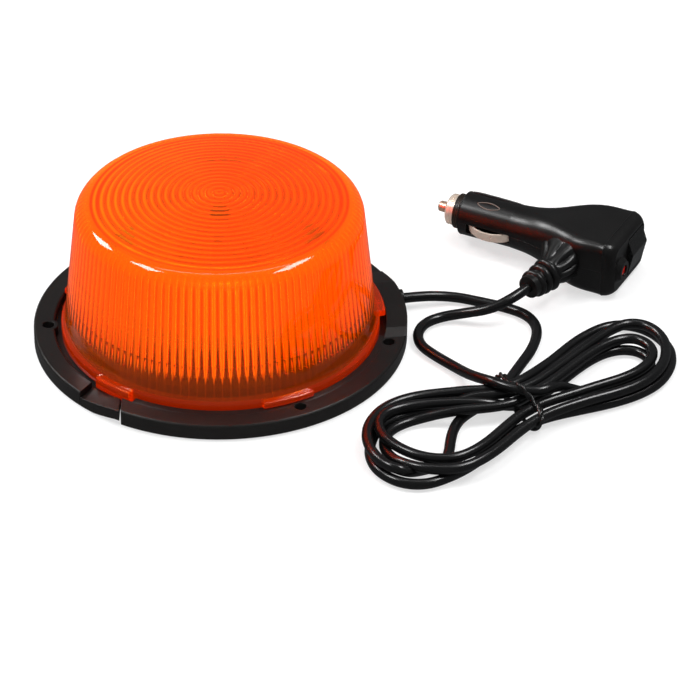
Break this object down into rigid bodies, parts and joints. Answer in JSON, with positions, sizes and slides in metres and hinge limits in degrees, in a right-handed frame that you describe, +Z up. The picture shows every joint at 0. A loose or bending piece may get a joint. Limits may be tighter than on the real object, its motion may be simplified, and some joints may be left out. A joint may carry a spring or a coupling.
{
  "type": "amber warning beacon",
  "caption": "Amber LED warning beacon with a flanged magnetic base, twist-off lens, and a cord in a tied hank ending in a switched 12 V accessory plug.",
  "frame": {"origin": "centre of the underside of the base, on the surface it stands on", "axes": "+Z up through the lens crown; +X towards the side where the cord leaves"},
  "size_m": [0.2919, 0.2185, 0.076],
  "materials": {
    "base_plastic": "satin",
    "plug_plastic": "satin",
    "rocker_plastic": "gloss",
    "cover_plastic": "matte",
    "collar_plastic": "satin",
    "amber_lens": "clear amber, gloss",
    "pad_rubber": "matte",
    "soft_black": "satin",
    "cord_pvc": "satin gloss",
    "lead_pvc": "satin",
    "tie_plastic": "satin",
    "plated_steel": "zinc plated",
    "ferrite": "dark ferrite",
    "board": "satin solder mask",
    "components": "matte",
    "led_phosphor": "gloss",
    "column_aluminium": "bare",
    "red_button": "gloss",
    "fuse_glass": "clear",
    "pin_brass": "polished",
    "nickel": "satin nickel"
  },
  "bodies": {
    "base": {"base_housing": "base_plastic", "bottom_pad": "pad_rubber", "magnet_cup": "plated_steel", "magnet": "ferrite", "magnet_screw": "plated_steel", "cord_grommet": "soft_black", "power_leads": "lead_pvc", "sealing_ring": "pad_rubber", "driver_board": "board", "driver_components": "components", "board_screws": "plated_steel", "inner_cover": "cover_plastic", "led_carrier": "column_aluminium", "side_boards": "board", "side_leds": "led_phosphor", "top_board": "board", "top_leds": "led_phosphor", "top_board_screws": "plated_steel", "plug_shell_upper": "plug_plastic", "plug_shell_lower": "plug_plastic", "plug_screws": "plated_steel", "plug_rear_cap": "plug_plastic", "rocker_pin": "plated_steel", "switch_body": "components", "push_switch": "components", "plug_board": "board", "fuse": "fuse_glass", "pin_spring": "plated_steel", "threaded_collar": "collar_plastic", "nose_cap": "nickel", "cord_boot": "soft_black", "cord_base_leg": "cord_pvc", "cord_plug_leg": "cord_pvc", "cord_hank": "cord_pvc", "hank_tie": "tie_plastic"},
    "lens_body": {"lens": "amber_lens"},
    "tongue_body": {"release_tongue": "base_plastic"},
    "rocker_body": {"rocker_switch": "rocker_plastic"},
    "button_body": {"mode_button": "red_button"},
    "pin_body": {"contact_pin": "pin_brass"},
    "contact_front_body": {"ground_contact_front": "nickel"},
    "contact_rear_body": {"ground_contact_rear": "nickel"}
  },
  "joints": [
    {"name": "lens_twist", "type": "hinge", "parent": "base", "child": "lens_body", "pos_m": [0, 0, 0.03], "axis": [0, 0, 1], "range_deg": [-12, 0]},
    {"name": "tongue_press", "type": "hinge", "parent": "base", "child": "tongue_body", "pos_m": [-0.0579, -0.055, 0.002], "axis": [0.512, 0.859, 0], "range_deg": [0, 4], "stiffness_Nm_per_rad": 0.02},
    {"name": "rocker", "type": "hinge", "parent": "base", "child": "rocker_body", "pos_m": [0.18827, 0.05459, 0.0143], "axis": [-0.4431, -0.8965, 0], "range_deg": [-5, 5]},
    {"name": "mode_press", "type": "slide", "parent": "base", "child": "button_body", "axis": [-0.8965, 0.4431, 0], "range_m": [0, 0.0008], "stiffness_N_per_m": 60},
    {"name": "pin_press", "type": "slide", "parent": "base", "child": "pin_body", "axis": [0.8965, -0.4431, 0], "range_m": [0, 0.002], "stiffness_N_per_m": 400},
    {"name": "contact_front_press", "type": "slide", "parent": "base", "child": "contact_front_body", "axis": [0.4317, 0.8735, 0.225], "range_m": [0, 0.0012], "stiffness_N_per_m": 60},
    {"name": "contact_rear_press", "type": "slide", "parent": "base", "child": "contact_rear_body", "axis": [-0.4317, -0.8735, -0.225], "range_m": [0, 0.0012], "stiffness_N_per_m": 60}
  ]
}
